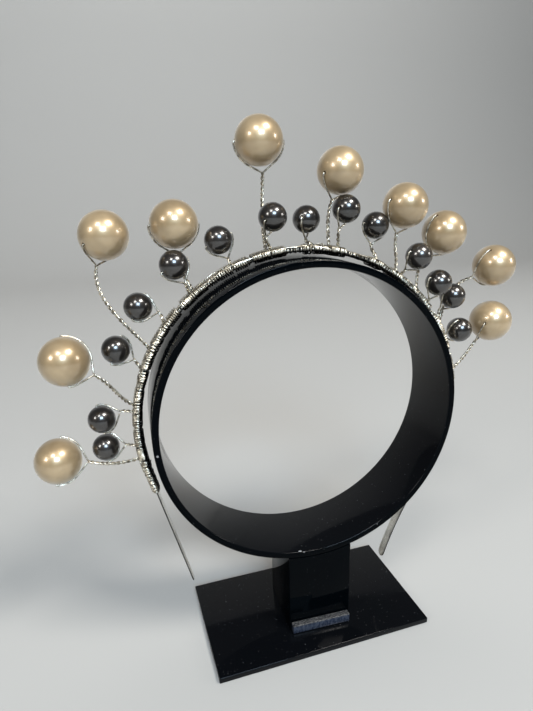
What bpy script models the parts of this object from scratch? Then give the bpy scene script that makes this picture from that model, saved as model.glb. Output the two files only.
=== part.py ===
"""Pearl headband resting on a ring display stand.

World frame: the origin lies on the floor under the middle of the base plate, +Z is up
and the front of the ring faces -Y. The headband is laid out in a plane of its own:
X to the right, Z up, Y to the back, with the origin at the centre of its arc.
All lengths are in metres, all angles in the tables in degrees.
"""

import math
from collections import namedtuple

import bmesh
import bpy
from mathutils import Vector

# Stand, cut from black acrylic sheet, block and tube
BASE_WIDTH = 0.108
BASE_DEPTH = 0.061
BASE_THICKNESS = 0.003
BASE_TURN = 2.7
RING_RADIUS = 0.070
RING_WALL = 0.003
RING_WIDTH = 0.0332
RING_SHIFT_X = -0.0020
RING_SHIFT_Y = 0.0011
POST_HEIGHT = 0.041
POST_WIDTH = 0.0314
POST_DEPTH = 0.0314
POST_SHIFT = 0.0036
CLEAT_DEPTH = 0.0032
CLEAT_HEIGHT = 0.0044
CLEAT_INSET = 0.0009
EDGE_BEVEL = 0.0004

# Headband: a flat springy strip, wound with wire over its top
STRIP_WIDTH = 0.0050
STRIP_THICKNESS = 0.0006
BAND_SLACK = 0.0060
BAND_RADIUS = RING_RADIUS + BAND_SLACK
BAND_SETBACK = 0.0014
BAND_TURN = -2.3
REST_ANGLE = 105.0
WINDING_WIDTH = 0.0062
WINDING_THICKNESS = 0.0028
WINDING_LEFT = 204.0
WINDING_RIGHT = -4.0

# Beads and the wires that carry them
PEARL_DIAMETER = 0.020
DARK_PEARL_DIAMETER = 0.012
DRILL_DIAMETER = 0.0014
WIRE_DIAMETER = 0.00075
STEM_DIAMETER = 0.0014
CROTCH_DROP = 0.0022
STEM_PULL = 0.35
STEM_RISE = 0.5
STEM_SEAT = 0.4
STEM_OVERLAP = 0.8
PAIR_SPREAD = 0.54
HOLE_CLEARANCE = 1.5

# Fits and facets
SEAT_GAP = 0.0003
RING_FACETS = 96
ARC_STEP = 4.0
LEG_STEPS = 6
LOOP_START = 6.0
LOOP_STEP = 22.0
STEM_STEP = 0.0045
WIRE_SIDES = 5
TIP_SHARES = (0.05, 0.3, 0.6)

# A leg leaves the arc leaning inward by `tuck` and ends leaning inward by `flare`.
Leg = namedtuple("Leg", "tuck flare length")
LEFT_LEG = Leg(tuck=15.0, flare=15.0, length=0.066)
RIGHT_LEG = Leg(tuck=31.0, flare=16.0, length=0.054)

# One row for each bead, from the left end of the band to the right.
# root: angle of the stem's foot round the arc. reach, side, back: the bead's centre from
# that foot, outward, towards the left and to the back. bow: how far the stem bends back
# halfway. These four lengths are shares of the bead's own diameter.
# hang: angle from the line to the foot to the line on which the wires meet.
# turn, dip: how far the drilled hole is turned to the front and tipped to the stem.
Bead = namedtuple("Bead", "root reach side back bow hang turn dip")
PEARLS = (
    Bead(190.1, 1.68, -0.45, 0.03, -0.12, -4, 25, 0),
    Bead(170.9, 1.42, -1.01, -0.40, 0.00, 12, 30, 35),
    Bead(151.2, 1.75, -1.72, 0.15, 0.00, -35, 45, 30),
    Bead(128.3, 1.25, -0.60, 0.17, 0.18, -12, 10, 0),
    Bead(102.2, 2.16, -0.39, 0.17, 0.22, 4, 0, -5),
    Bead(81.6, 1.59, -0.07, 0.17, 0.10, -5, 30, 20),
    Bead(56.1, 1.32, 0.60, 0.12, 0.00, -7, 20, 0),
    Bead(45.6, 1.42, 0.35, 0.20, 0.20, -2, 15, -20),
    Bead(29.8, 2.02, 0.29, 0.35, 0.28, -13, 20, 8),
    Bead(10.7, 1.37, 0.85, 0.28, 0.00, 11, 45, 25),
)
DARK_PEARLS = (
    Bead(185.1, 1.14, 0.01, 0.33, 0.00, -4, 20, 0),
    Bead(173.2, 1.14, 0.40, 0.21, 0.00, 6, 15, 0),
    Bead(158.1, 1.04, -0.34, 0.12, 0.00, 4, 20, 10),
    Bead(141.6, 1.04, 0.10, 0.17, 0.00, 14, 30, -10),
    Bead(129.7, 1.13, -0.28, -0.29, 0.00, 2, 20, 0),
    Bead(114.1, 0.93, 0.00, 0.25, 0.00, 2, 10, 0),
    Bead(100.8, 1.12, -0.24, -0.29, 0.00, -19, 50, 25),
    Bead(87.5, 0.90, 0.10, 0.38, 0.00, -5, 55, -10),
    Bead(78.4, 1.38, 0.06, -0.21, 0.00, -11, 40, 10),
    Bead(64.3, 1.15, 0.49, 0.25, 0.00, -9, 10, 0),
    Bead(53.8, 0.93, -0.06, -0.29, 0.00, -7, 20, 20),
    Bead(40.1, 0.76, 0.31, -0.28, 0.00, -1, 15, 0),
    Bead(31.4, 1.10, 0.34, 0.20, 0.00, -3, 20, 0),
    Bead(22.6, 0.89, -0.06, 0.33, 0.00, 3, 20, 0),
)

PEARL_SIDES = 12
PEARL_RINGS = 6
DARK_PEARL_SIDES = 10
DARK_PEARL_RINGS = 5


def clear_scene():
    """Remove every object of the open scene."""
    for item in list(bpy.data.objects):
        bpy.data.objects.remove(item, do_unlink=True)


def make_material(name, colour, roughness, metallic=0.0, coat=0.0):
    """Return a Principled material of one colour."""
    material = bpy.data.materials.new(name)
    material.use_nodes = True
    shader = material.node_tree.nodes["Principled BSDF"]
    shader.inputs["Base Color"].default_value = (*colour, 1.0)
    shader.inputs["Roughness"].default_value = roughness
    shader.inputs["Metallic"].default_value = metallic
    shader.inputs["Coat Weight"].default_value = coat
    material.diffuse_color = (*colour, 1.0)
    return material


def add_object(name, data, material=None, parent=None):
    """Link an object made from a mesh or curve, under a parent if one is given."""
    item = bpy.data.objects.new(name, data)
    bpy.context.collection.objects.link(item)
    if material is not None:
        data.materials.append(material)
    item.parent = parent
    return item


def shade_round(mesh, angle=40.0):
    """Shade a mesh smooth except across edges sharper than the angle."""
    mesh.shade_smooth()
    mesh.set_sharp_from_angle(angle=math.radians(angle))


def evaluated_mesh(item, name):
    """Return a mesh of an object with its curve bevel and modifiers worked out."""
    bpy.context.view_layer.update()
    graph = bpy.context.evaluated_depsgraph_get()
    mesh = bpy.data.meshes.new_from_object(item.evaluated_get(graph))
    mesh.name = name
    return mesh


def box_mesh(name, width, depth, height, bevel=0.0):
    """Return a box that stands on its own origin, with bevelled edges."""
    mesh = bpy.data.meshes.new(name)
    shape = bmesh.new()
    bmesh.ops.create_cube(shape, size=1.0)
    bmesh.ops.scale(shape, vec=(width, depth, height), verts=shape.verts)
    bmesh.ops.translate(shape, vec=(0.0, 0.0, height / 2), verts=shape.verts)
    if bevel > 0.0:
        bmesh.ops.bevel(shape, geom=shape.edges[:], offset=bevel, segments=1, affect="EDGES")
    shape.to_mesh(mesh)
    shape.free()
    return mesh


def boolean(item, cutter, operation):
    """Join or cut an object with another one, which is then removed."""
    modifier = item.modifiers.new(operation.lower(), "BOOLEAN")
    modifier.object = cutter
    modifier.operation = operation
    modifier.solver = "EXACT"
    old = item.data
    item.data = evaluated_mesh(item, old.name)
    item.modifiers.clear()
    bpy.data.objects.remove(cutter, do_unlink=True)
    return item


def loft(name, sections):
    """Return a closed mesh skinned over closed sections, each a list of points."""
    mesh = bpy.data.meshes.new(name)
    shape = bmesh.new()
    loops = [[shape.verts.new(point) for point in section] for section in sections]
    count = len(loops[0])
    for near, far in zip(loops, loops[1:]):
        for i in range(count):
            j = (i + 1) % count
            shape.faces.new((near[i], near[j], far[j], far[i]))
    shape.faces.new(loops[0])
    shape.faces.new(loops[-1])
    bmesh.ops.recalc_face_normals(shape, faces=shape.faces[:])
    shape.to_mesh(mesh)
    shape.free()
    return mesh


def ring_centre():
    """Return the centre of the display ring in the world."""
    height = BASE_THICKNESS + POST_HEIGHT + RING_RADIUS
    return Vector((RING_SHIFT_X, RING_SHIFT_Y, height))


def make_base(material):
    """Base plate of the stand, turned a little from the ring."""
    mesh = box_mesh("stand_base", BASE_WIDTH, BASE_DEPTH, BASE_THICKNESS, EDGE_BEVEL)
    plate = add_object("stand_base", mesh, material)
    plate.rotation_euler.z = math.radians(BASE_TURN)
    return plate


def cylinder_along_y(name, radius, depth, centre, facets):
    """Add a cylinder whose axis runs along Y."""
    mesh = bpy.data.meshes.new(name)
    shape = bmesh.new()
    bmesh.ops.create_cone(
        shape, cap_ends=True, segments=facets, radius1=radius, radius2=radius, depth=depth
    )
    shape.to_mesh(mesh)
    shape.free()
    item = add_object(name, mesh)
    item.rotation_euler.x = math.radians(90)
    item.location = centre
    return item


def make_ring(material):
    """Upright ring: a short length of tube open at both faces."""
    centre = ring_centre()
    ring = cylinder_along_y("stand_ring", RING_RADIUS, RING_WIDTH, centre, RING_FACETS)
    bore = cylinder_along_y(
        "ring_bore", RING_RADIUS - RING_WALL, RING_WIDTH * 2, centre, RING_FACETS
    )
    boolean(ring, bore, "DIFFERENCE")
    ring.data.materials.clear()
    ring.data.materials.append(material)
    shade_round(ring.data)
    return ring


def post_place():
    """Return where the post stands: the middle of its foot on the base plate."""
    centre = ring_centre()
    front = centre.y - RING_WIDTH / 2
    return Vector((centre.x + POST_SHIFT, front + POST_DEPTH / 2, BASE_THICKNESS + SEAT_GAP))


def make_post(material):
    """Square post with a top hollowed out to take the ring."""
    blank = box_mesh("stand_post", POST_WIDTH, POST_DEPTH, POST_HEIGHT + RING_RADIUS / 4)
    post = add_object("stand_post", blank, material)
    post.location = post_place()
    seat = cylinder_along_y(
        "ring_seat", RING_RADIUS + SEAT_GAP, POST_DEPTH * 2, ring_centre(), RING_FACETS
    )
    boolean(post, seat, "DIFFERENCE")
    return post


def make_cleat(material):
    """Clear strip glued into the corner between the base plate and the post."""
    width = POST_WIDTH - 2 * CLEAT_INSET
    mesh = box_mesh("stand_cleat", width, CLEAT_DEPTH, CLEAT_HEIGHT, EDGE_BEVEL)
    cleat = add_object("stand_cleat", mesh, material)
    place = post_place()
    front = place.y - POST_DEPTH / 2
    cleat.location = (place.x, front - SEAT_GAP - CLEAT_DEPTH / 2, place.z)
    return cleat


def headband_seat():
    """Empty at the centre of the headband's arc, its ties resting on the ring."""
    inner = BAND_RADIUS - WINDING_THICKNESS / 2 - SEAT_GAP - WIRE_DIAMETER
    drop = inner - RING_RADIUS - SEAT_GAP
    rest = math.radians(REST_ANGLE)
    seat = bpy.data.objects.new("headband_seat", None)
    bpy.context.collection.objects.link(seat)
    offset = Vector((-drop * math.cos(rest), BAND_SETBACK, -drop * math.sin(rest)))
    seat.location = ring_centre() + offset
    seat.rotation_euler.z = math.radians(BAND_TURN)
    return seat


def radial(angle):
    """Return the unit vector at an angle in the plane of the band."""
    turn = math.radians(angle)
    return Vector((math.cos(turn), 0.0, math.sin(turn)))


def leg_station(leg, side, run):
    """Return a point on a leg and its outward direction.

    side is -1 on the left and 1 on the right, and run is the length from the arc.
    The leg is a wide arc, so a chord of it leans by the mean of its two ends.
    """
    lean = leg.tuck + (leg.flare - leg.tuck) * run / leg.length
    half = math.radians(lean - leg.tuck) / 2
    chord = run * (math.sin(half) / half if abs(half) > 1e-9 else 1.0)
    start = radial(-leg.tuck) * BAND_RADIUS
    point = start - radial(90 - (leg.tuck + lean) / 2) * chord
    outward = radial(-lean)
    return Vector((side * point.x, 0.0, point.z)), Vector((side * outward.x, 0.0, outward.z))


def band_station(angle):
    """Return a point of the band's centre line and its outward direction.

    Past the ends of the arc the angle goes on down the legs, at the arc's own pace.
    """
    if angle > 180.0 + LEFT_LEG.tuck:
        run = math.radians(angle - 180.0 - LEFT_LEG.tuck) * BAND_RADIUS
        return leg_station(LEFT_LEG, -1, run)
    if angle < -RIGHT_LEG.tuck:
        run = math.radians(-RIGHT_LEG.tuck - angle) * BAND_RADIUS
        return leg_station(RIGHT_LEG, 1, run)
    outward = radial(angle)
    return outward * BAND_RADIUS, outward


def spread(start, end, step):
    """Return evenly spaced values from start to end, no further apart than step."""
    count = max(1, math.ceil(abs(end - start) / step - 1e-6))
    return [start + (end - start) * i / count for i in range(count + 1)]


def strip_angles():
    """Return the stations of the strip: the left leg, the arc, then the right leg."""
    left_end = 180.0 + LEFT_LEG.tuck + math.degrees(LEFT_LEG.length / BAND_RADIUS)
    right_end = -RIGHT_LEG.tuck - math.degrees(RIGHT_LEG.length / BAND_RADIUS)
    tip = math.degrees(STRIP_WIDTH / 2 / BAND_RADIUS)
    leg_step = max(ARC_STEP, (left_end - WINDING_LEFT) / LEG_STEPS)
    angles = [left_end - tip * share for share in TIP_SHARES]
    angles += spread(left_end - tip, WINDING_LEFT, leg_step)[:-1]
    angles += spread(WINDING_LEFT, WINDING_RIGHT, ARC_STEP)[:-1]
    angles += spread(WINDING_RIGHT, -RIGHT_LEG.tuck, ARC_STEP)[:-1]
    angles += spread(-RIGHT_LEG.tuck, right_end + tip, leg_step)
    angles += [right_end + tip * share for share in reversed(TIP_SHARES)]
    return angles, left_end, right_end


def flat_section(angle, thickness, width, chamfer=0.0):
    """Return a flat section across the band, with its corners cut off if wanted."""
    point, outward = band_station(angle)
    back = Vector((0.0, 1.0, 0.0))
    t, w, c = thickness / 2, width / 2, chamfer
    if c > 0.0:
        corners = ((t, c - w), (t, w - c), (t - c, w), (c - t, w), (-t, w - c), (-t, c - w),
                   (c - t, -w), (t - c, -w))
    else:
        corners = ((t, -w), (t, w), (-t, w), (-t, -w))
    return [point + outward * out + back * across for out, across in corners]


def make_strip(material, seat):
    """Flat springy strip of the headband, with rounded tips."""
    angles, left_end, right_end = strip_angles()
    half = STRIP_WIDTH / 2
    sections = []
    for angle in angles:
        run = math.radians(min(left_end - angle, angle - right_end)) * BAND_RADIUS
        inset = max(0.0, half - run)
        width = 2 * math.sqrt(half * half - inset * inset)
        sections.append(flat_section(angle, STRIP_THICKNESS, width))
    return add_object("band_strip", loft("band_strip", sections), material, seat)


def make_winding(material, seat):
    """Sleeve of close wire turns round the strip, open at both ends."""
    corner = WINDING_THICKNESS / 4
    turns = spread(WINDING_LEFT, WINDING_RIGHT, ARC_STEP)
    outer = [flat_section(a, WINDING_THICKNESS, WINDING_WIDTH, corner) for a in turns]
    past = math.degrees(WINDING_THICKNESS / BAND_RADIUS)
    hollow = (STRIP_THICKNESS + 2 * SEAT_GAP, STRIP_WIDTH + 2 * SEAT_GAP)
    inside = [WINDING_LEFT + past, *turns[1:-1], WINDING_RIGHT - past]
    inner = [flat_section(a, *hollow) for a in inside]
    sleeve = add_object("band_winding", loft("band_winding", outer), material, seat)
    cavity = add_object("winding_cavity", loft("winding_cavity", inner), None, seat)
    return boolean(sleeve, cavity, "DIFFERENCE")


def wire_profile(name, diameter):
    """Return a many-sided section for a curve to be bevelled with."""
    curve = bpy.data.curves.new(name, "CURVE")
    curve.dimensions = "2D"
    spline = curve.splines.new("POLY")
    spline.points.add(WIRE_SIDES - 1)
    for i, point in enumerate(spline.points):
        turn = 2 * math.pi * i / WIRE_SIDES
        point.co = (diameter / 2 * math.cos(turn), diameter / 2 * math.sin(turn), 0.0, 1.0)
    spline.use_cyclic_u = True
    profile = add_object(name, curve)
    profile.hide_render = True
    profile.display_type = "WIRE"
    return profile


def sweep(name, points, profile, closed=False):
    """Add a solid wire that follows the points with the section of a profile."""
    curve = bpy.data.curves.new(name, "CURVE")
    curve.dimensions = "3D"
    curve.bevel_mode = "OBJECT"
    curve.bevel_object = profile
    curve.use_fill_caps = not closed
    spline = curve.splines.new("POLY")
    spline.points.add(len(points) - 1)
    for target, point in zip(spline.points, points):
        target.co = (*point, 1.0)
    spline.use_cyclic_u = closed
    guide = add_object(name + "_path", curve)
    mesh = evaluated_mesh(guide, name)
    bpy.data.objects.remove(guide, do_unlink=True)
    shape = bmesh.new()
    shape.from_mesh(mesh)
    bmesh.ops.remove_doubles(shape, verts=shape.verts, dist=1e-6)
    bmesh.ops.recalc_face_normals(shape, faces=shape.faces[:])
    shape.to_mesh(mesh)
    shape.free()
    return add_object(name, mesh)


def bead_mesh(name, diameter, sides, rings):
    """Return a bead turned about X, with a hole drilled along X."""
    radius = diameter / 2
    bore = DRILL_DIAMETER / 2
    cut = math.degrees(math.asin(bore / radius))
    mesh = bpy.data.meshes.new(name)
    shape = bmesh.new()
    outline = [shape.verts.new(radial(a) * radius) for a in spread(cut, 180 - cut, 180 / rings)]
    for vert, following in zip(outline, outline[1:] + outline[:1]):
        shape.edges.new((vert, following))
    bmesh.ops.spin(
        shape, geom=shape.verts[:] + shape.edges[:], cent=(0, 0, 0), axis=(1, 0, 0),
        angle=2 * math.pi, steps=sides, use_merge=True
    )
    bmesh.ops.remove_doubles(shape, verts=shape.verts, dist=1e-6)
    bmesh.ops.recalc_face_normals(shape, faces=shape.faces[:])
    shape.to_mesh(mesh)
    shape.free()
    shade_round(mesh, 60.0)
    return mesh


class BeadPlace:
    """Where a bead, its drilled hole and the meeting point of its wires lie."""

    def __init__(self, row, diameter):
        foot = BAND_RADIUS + WINDING_THICKNESS / 2
        outward = radial(row.root)
        left = radial(row.root + 90)
        back = Vector((0.0, 1.0, 0.0))
        self.radius = diameter / 2
        self.foot = outward * foot
        self.centre = self.foot + (outward * row.reach + left * row.side + back * row.back) * diameter
        home = self.foot - self.centre
        hang = math.degrees(math.atan2(home.z, home.x)) + row.hang
        self.down = radial(hang)
        self.crotch = self.centre + self.down * (self.radius + CROTCH_DROP)
        self.bow = back * row.bow * diameter
        turn, dip = math.radians(row.turn), math.radians(row.dip)
        across = radial(hang - 90) * math.cos(turn) - back * math.sin(turn)
        self.across = across
        self.hole = across * math.cos(dip) + self.down * math.sin(dip)

    def half_loop(self, side):
        """Return the points from the hole's middle round one side of the bead to the stem."""
        orbit = (self.radius + SEAT_GAP + WIRE_DIAMETER / 2) / math.cos(math.radians(LOOP_STEP / 2))
        exit_way = self.hole * side
        total = math.degrees(exit_way.angle(self.down))
        leave = math.degrees(math.acos(orbit / (self.radius + CROTCH_DROP)))
        axis = exit_way.cross(self.down).normalized()
        normal = axis.cross(exit_way)
        points = [self.centre + exit_way * (self.radius + SEAT_GAP * HOLE_CLEARANCE)]
        for angle in spread(LOOP_START, total - leave, LOOP_STEP):
            turn = math.radians(angle)
            way = exit_way * math.cos(turn) + normal * math.sin(turn)
            points.append(self.centre + way * orbit)
        beside = self.across * side * (WIRE_DIAMETER * PAIR_SPREAD)
        points.append(self.crotch + beside)
        points.append(self.crotch + beside + self.down * (STEM_DIAMETER * STEM_OVERLAP))
        return points

    def loop_points(self):
        """Return the wire's way: up to the bead, round it, through it and back again."""
        return list(reversed(self.half_loop(-1))) + self.half_loop(1)

    def stem_points(self):
        """Return the twisted stem's centre line from the band up to the bead's loop."""
        start = self.foot + self.foot.normalized() * (SEAT_GAP + STEM_DIAMETER * STEM_SEAT)
        chord = self.crotch - start
        pull = chord.length * STEM_PULL
        rise = (chord.normalized() + self.foot.normalized() * STEM_RISE).normalized()
        a, b, c, d = start, start + rise * pull, self.crotch + self.down * pull, self.crotch
        points = []
        for t in spread(0.0, 1.0, min(0.25, STEM_STEP / chord.length)):
            s = 1.0 - t
            point = a * s ** 3 + b * 3 * s * s * t + c * 3 * s * t * t + d * t ** 3
            points.append(point + self.bow * 4 * s * t)
        return points


def collar_points(root):
    """Return the closed turn of wire that ties a stem's foot round the winding."""
    grow = 2 * SEAT_GAP + WIRE_DIAMETER
    return flat_section(root, WINDING_THICKNESS + grow, WINDING_WIDTH + grow, WINDING_THICKNESS / 4)


def make_wire(name, row, place, profiles, material, seat):
    """One bead's wire: a loop through the bead, a twisted stem and a turn round the band."""
    wire_shape, stem_shape = profiles
    wire = sweep(name, place.stem_points(), stem_shape)
    boolean(wire, sweep(name + "_loop", place.loop_points(), wire_shape), "UNION")
    boolean(wire, sweep(name + "_collar", collar_points(row.root), wire_shape, True), "UNION")
    wire.data.materials.clear()
    wire.data.materials.append(material)
    shade_round(wire.data, 75.0)
    wire.parent = seat
    return wire


def make_beads(kind, rows, diameter, facets, material, wire_material, profiles, seat):
    """Add every bead of one kind with the wire that carries it."""
    mesh = bead_mesh(kind, diameter, *facets)
    mesh.materials.append(material)
    for number, row in enumerate(rows, start=1):
        place = BeadPlace(row, diameter)
        bead = bpy.data.objects.new(f"{kind}_{number:02d}", mesh)
        bpy.context.collection.objects.link(bead)
        bead.parent = seat
        bead.location = place.centre
        bead.rotation_euler = place.hole.to_track_quat("X", "Z").to_euler()
        make_wire(f"{kind}_wire_{number:02d}", row, place, profiles, wire_material, seat)


def main():
    """Build the stand, then the headband on it."""
    clear_scene()
    acrylic = make_material("black_acrylic", (0.012, 0.012, 0.014), 0.08, coat=0.5)
    clear = make_material("clear_acrylic", (0.75, 0.80, 0.85), 0.25)
    steel = make_material("steel_strip", (0.62, 0.60, 0.56), 0.22, metallic=1.0)
    silver = make_material("silver_wire", (0.72, 0.69, 0.63), 0.30, metallic=1.0)
    champagne = make_material("champagne_pearl", (0.80, 0.66, 0.48), 0.20, coat=0.6)
    gunmetal = make_material("gunmetal_pearl", (0.085, 0.088, 0.100), 0.18, metallic=0.5)

    make_base(acrylic)
    make_post(acrylic)
    make_ring(acrylic)
    make_cleat(clear)

    seat = headband_seat()
    make_strip(steel, seat)
    make_winding(silver, seat)
    profiles = (
        wire_profile("wire_section", WIRE_DIAMETER),
        wire_profile("stem_section", STEM_DIAMETER),
    )
    make_beads("pearl", PEARLS, PEARL_DIAMETER, (PEARL_SIDES, PEARL_RINGS),
               champagne, silver, profiles, seat)
    make_beads("dark_pearl", DARK_PEARLS, DARK_PEARL_DIAMETER,
               (DARK_PEARL_SIDES, DARK_PEARL_RINGS), gunmetal, silver, profiles, seat)


main()
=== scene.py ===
"""Looks of a pearl headband resting on a ring display stand.

Every length is in metres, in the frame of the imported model: +Z up, the ring's front facing
-Y. The headband is laid out in a plane of its own, with its origin at the centre of its arc.
"""

import logging
import math
import random
from collections.abc import Callable
from dataclasses import dataclass, field
from enum import Enum

import bmesh
import bpy
from mathutils import Matrix, Quaternion, Vector


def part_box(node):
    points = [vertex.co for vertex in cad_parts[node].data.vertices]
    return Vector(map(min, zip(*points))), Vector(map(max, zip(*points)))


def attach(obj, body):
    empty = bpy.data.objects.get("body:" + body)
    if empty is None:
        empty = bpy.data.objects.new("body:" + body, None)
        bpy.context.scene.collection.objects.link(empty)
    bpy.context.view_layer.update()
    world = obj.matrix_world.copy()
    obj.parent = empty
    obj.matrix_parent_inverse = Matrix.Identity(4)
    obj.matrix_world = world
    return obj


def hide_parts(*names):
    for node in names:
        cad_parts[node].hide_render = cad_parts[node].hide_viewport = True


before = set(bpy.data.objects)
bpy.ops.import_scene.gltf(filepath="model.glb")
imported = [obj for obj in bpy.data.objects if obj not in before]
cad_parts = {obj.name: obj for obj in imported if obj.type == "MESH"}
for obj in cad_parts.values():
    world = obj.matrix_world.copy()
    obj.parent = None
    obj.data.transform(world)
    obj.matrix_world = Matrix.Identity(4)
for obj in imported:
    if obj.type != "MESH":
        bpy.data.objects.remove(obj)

Colour = tuple[float, float, float]
Socket = bpy.types.NodeSocket

LOG = logging.getLogger("headband")
BODY = "root"
SEED = 20
PEARL_DIAMETER = 0.020
DARK_DIAMETER = 0.012
DRILL = 0.0014
NOISE_LOW = 0.3
NOISE_HIGH = 0.7
ACRYLIC_IOR = 1.49
FACING = 0.9
WIRE_CREASE = 75.0


class BeadKind(Enum):
    """The two kinds of bead on the band, by the name of their nodes."""

    PEARL = "pearl"
    DARK = "dark_pearl"


class Slot(Enum):
    """The record's material slots."""

    BLACK = "black_acrylic"
    CLEAR = "clear_acrylic"
    STRIP = "steel_strip"
    WIRE = "silver_wire"
    CHAMPAGNE = "champagne_pearl"
    GUNMETAL = "gunmetal_pearl"


class Shader:
    """A Principled material under construction, with its nodes made by short calls."""

    def __init__(self, name: str) -> None:
        """Start a material with a Principled shader.

        Args:
            name: the material's name.
        """
        self.material = bpy.data.materials.new(name)
        self.material.use_nodes = True
        self.tree = self.material.node_tree
        self.principled = self.tree.nodes["Principled BSDF"]
        self.place = self.tree.nodes.new("ShaderNodeTexCoord").outputs["Object"]

    def set(self, **values: float | tuple) -> None:
        """Set sockets of the Principled shader, named with underscores for spaces."""
        for name, value in values.items():
            self.principled.inputs[name.replace("_", " ")].default_value = value

    def link(self, source: Socket, socket: str) -> None:
        """Feed a socket of the Principled shader."""
        self.tree.links.new(source, self.principled.inputs[socket])

    def stretched(self, scale: tuple[float, float, float]) -> Socket:
        """Scale the object's coordinates by axis, for a pattern with a direction.

        Args:
            scale: the factor along each axis.

        Returns:
            The scaled coordinates.
        """
        mapping = self.tree.nodes.new("ShaderNodeMapping")
        mapping.inputs["Scale"].default_value = scale
        self.tree.links.new(self.place, mapping.inputs["Vector"])
        return mapping.outputs["Vector"]

    def noise(self, scale: float, detail: float = 2.0, rough: float = 0.5,
              vector: Socket | None = None) -> Socket:
        """Add a noise pattern.

        Args:
            scale: lumps in a metre.
            detail: finer octaves laid over it.
            rough: strength of those octaves.
            vector: coordinates, or the object's own if none are given.

        Returns:
            The noise's value, nearly all of it between NOISE_LOW and NOISE_HIGH.
        """
        node = self.tree.nodes.new("ShaderNodeTexNoise")
        node.inputs["Scale"].default_value = scale
        node.inputs["Detail"].default_value = detail
        node.inputs["Roughness"].default_value = rough
        self.tree.links.new(vector or self.place, node.inputs["Vector"])
        return node.outputs["Fac"]

    def remap(self, source: Socket, to_low: float, to_high: float,
              low: float = NOISE_LOW, high: float = NOISE_HIGH) -> Socket:
        """Stretch a value from one range to another, and hold it inside.

        Args:
            source: the value.
            to_low: what low becomes.
            to_high: what high becomes.
            low: the start of the value's range.
            high: the end of the value's range.

        Returns:
            The stretched value.
        """
        node = self.tree.nodes.new("ShaderNodeMapRange")
        for name, value in (("From Min", low), ("From Max", high),
                            ("To Min", to_low), ("To Max", to_high)):
            node.inputs[name].default_value = value
        self.tree.links.new(source, node.inputs["Value"])
        return node.outputs["Result"]

    def ramp(self, source: Socket, stops: list[tuple[float, Colour]]) -> Socket:
        """Read a colour from stops along a value.

        Args:
            source: the value.
            stops: the positions and their colours, in order.

        Returns:
            The colour.
        """
        node = self.tree.nodes.new("ShaderNodeValToRGB")
        stop_list = node.color_ramp.elements
        while len(stop_list) < len(stops):
            stop_list.new(0.5)
        for element, (position, colour) in zip(stop_list, stops):
            element.position = position
            element.color = (*colour, 1.0)
        self.tree.links.new(source, node.inputs["Fac"])
        return node.outputs["Color"]

    def bump(self, source: Socket, strength: float, depth: float,
             before: Socket | None = None) -> Socket:
        """Raise the surface by a height pattern.

        Args:
            source: the height, 0 to 1.
            strength: share of the full relief.
            depth: height of the full relief in metres.
            before: the normal of a relief laid under this one.

        Returns:
            The normal, which also feeds the Principled shader.
        """
        node = self.tree.nodes.new("ShaderNodeBump")
        node.inputs["Strength"].default_value = strength
        node.inputs["Distance"].default_value = depth
        self.tree.links.new(source, node.inputs["Height"])
        if before is not None:
            self.tree.links.new(before, node.inputs["Normal"])
        self.link(node.outputs["Normal"], "Normal")
        return node.outputs["Normal"]


@dataclass(frozen=True, kw_only=True)
class NacreFinish:
    """Imitation pearl: a lustrous coat over a colour that drifts a little."""

    name: str
    light: Colour
    deep: Colour
    metallic: float
    roughness: float
    coat_roughness: float
    coat_ior: float
    sheen: float
    sheen_tint: Colour
    sheen_roughness: float = 0.4
    drift_scale: float = 55.0
    cloud_scale: float = 190.0
    swell_scale: float = 130.0
    swell_depth: float = 0.00025
    grain_scale: float = 900.0
    grain_depth: float = 0.00006

    def build(self) -> bpy.types.Material:
        """Make the pearl's material.

        Returns:
            The material.
        """
        shader = Shader(self.name)
        drift = shader.noise(self.drift_scale, 3.0, 0.6)
        shader.link(shader.ramp(drift, [(0.36, self.deep), (0.62, self.light)]), "Base Color")
        cloud = shader.noise(self.cloud_scale)
        shader.link(shader.remap(cloud, self.roughness - 0.04, self.roughness + 0.06), "Roughness")
        shader.set(Metallic=self.metallic, Coat_Weight=1.0, Coat_Roughness=self.coat_roughness,
                   Coat_IOR=self.coat_ior, Sheen_Weight=self.sheen,
                   Sheen_Roughness=self.sheen_roughness, Sheen_Tint=(*self.sheen_tint, 1.0))
        swell = shader.bump(shader.noise(self.swell_scale, 1.0), 0.25, self.swell_depth)
        shader.bump(shader.noise(self.grain_scale), 0.12, self.grain_depth, swell)
        return shader.material


@dataclass(frozen=True, kw_only=True)
class WireFinish:
    """Silver-coloured wire: bright, drawn, with grey tarnish in its hollows."""

    name: str
    bright: Colour
    tarnish: Colour
    roughness: float
    stain_scale: float
    score_scale: float = 2600.0
    score_depth: float = 0.00005

    def colour(self, shader: Shader, stain: Socket) -> Socket:
        """Return the wire's colour, read from a stain pattern."""
        return shader.ramp(stain, [(0.42, self.tarnish), (0.56, self.bright)])

    def build(self) -> bpy.types.Material:
        """Make the wire's material.

        Returns:
            The material.
        """
        shader = Shader(self.name)
        stain = shader.noise(self.stain_scale, 3.0, 0.65)
        shader.link(self.colour(shader, stain), "Base Color")
        shader.link(shader.remap(stain, self.roughness + 0.16, self.roughness - 0.05), "Roughness")
        shader.set(Metallic=1.0)
        shader.bump(shader.noise(self.score_scale), 0.3, self.score_depth)
        return shader.material


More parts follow.
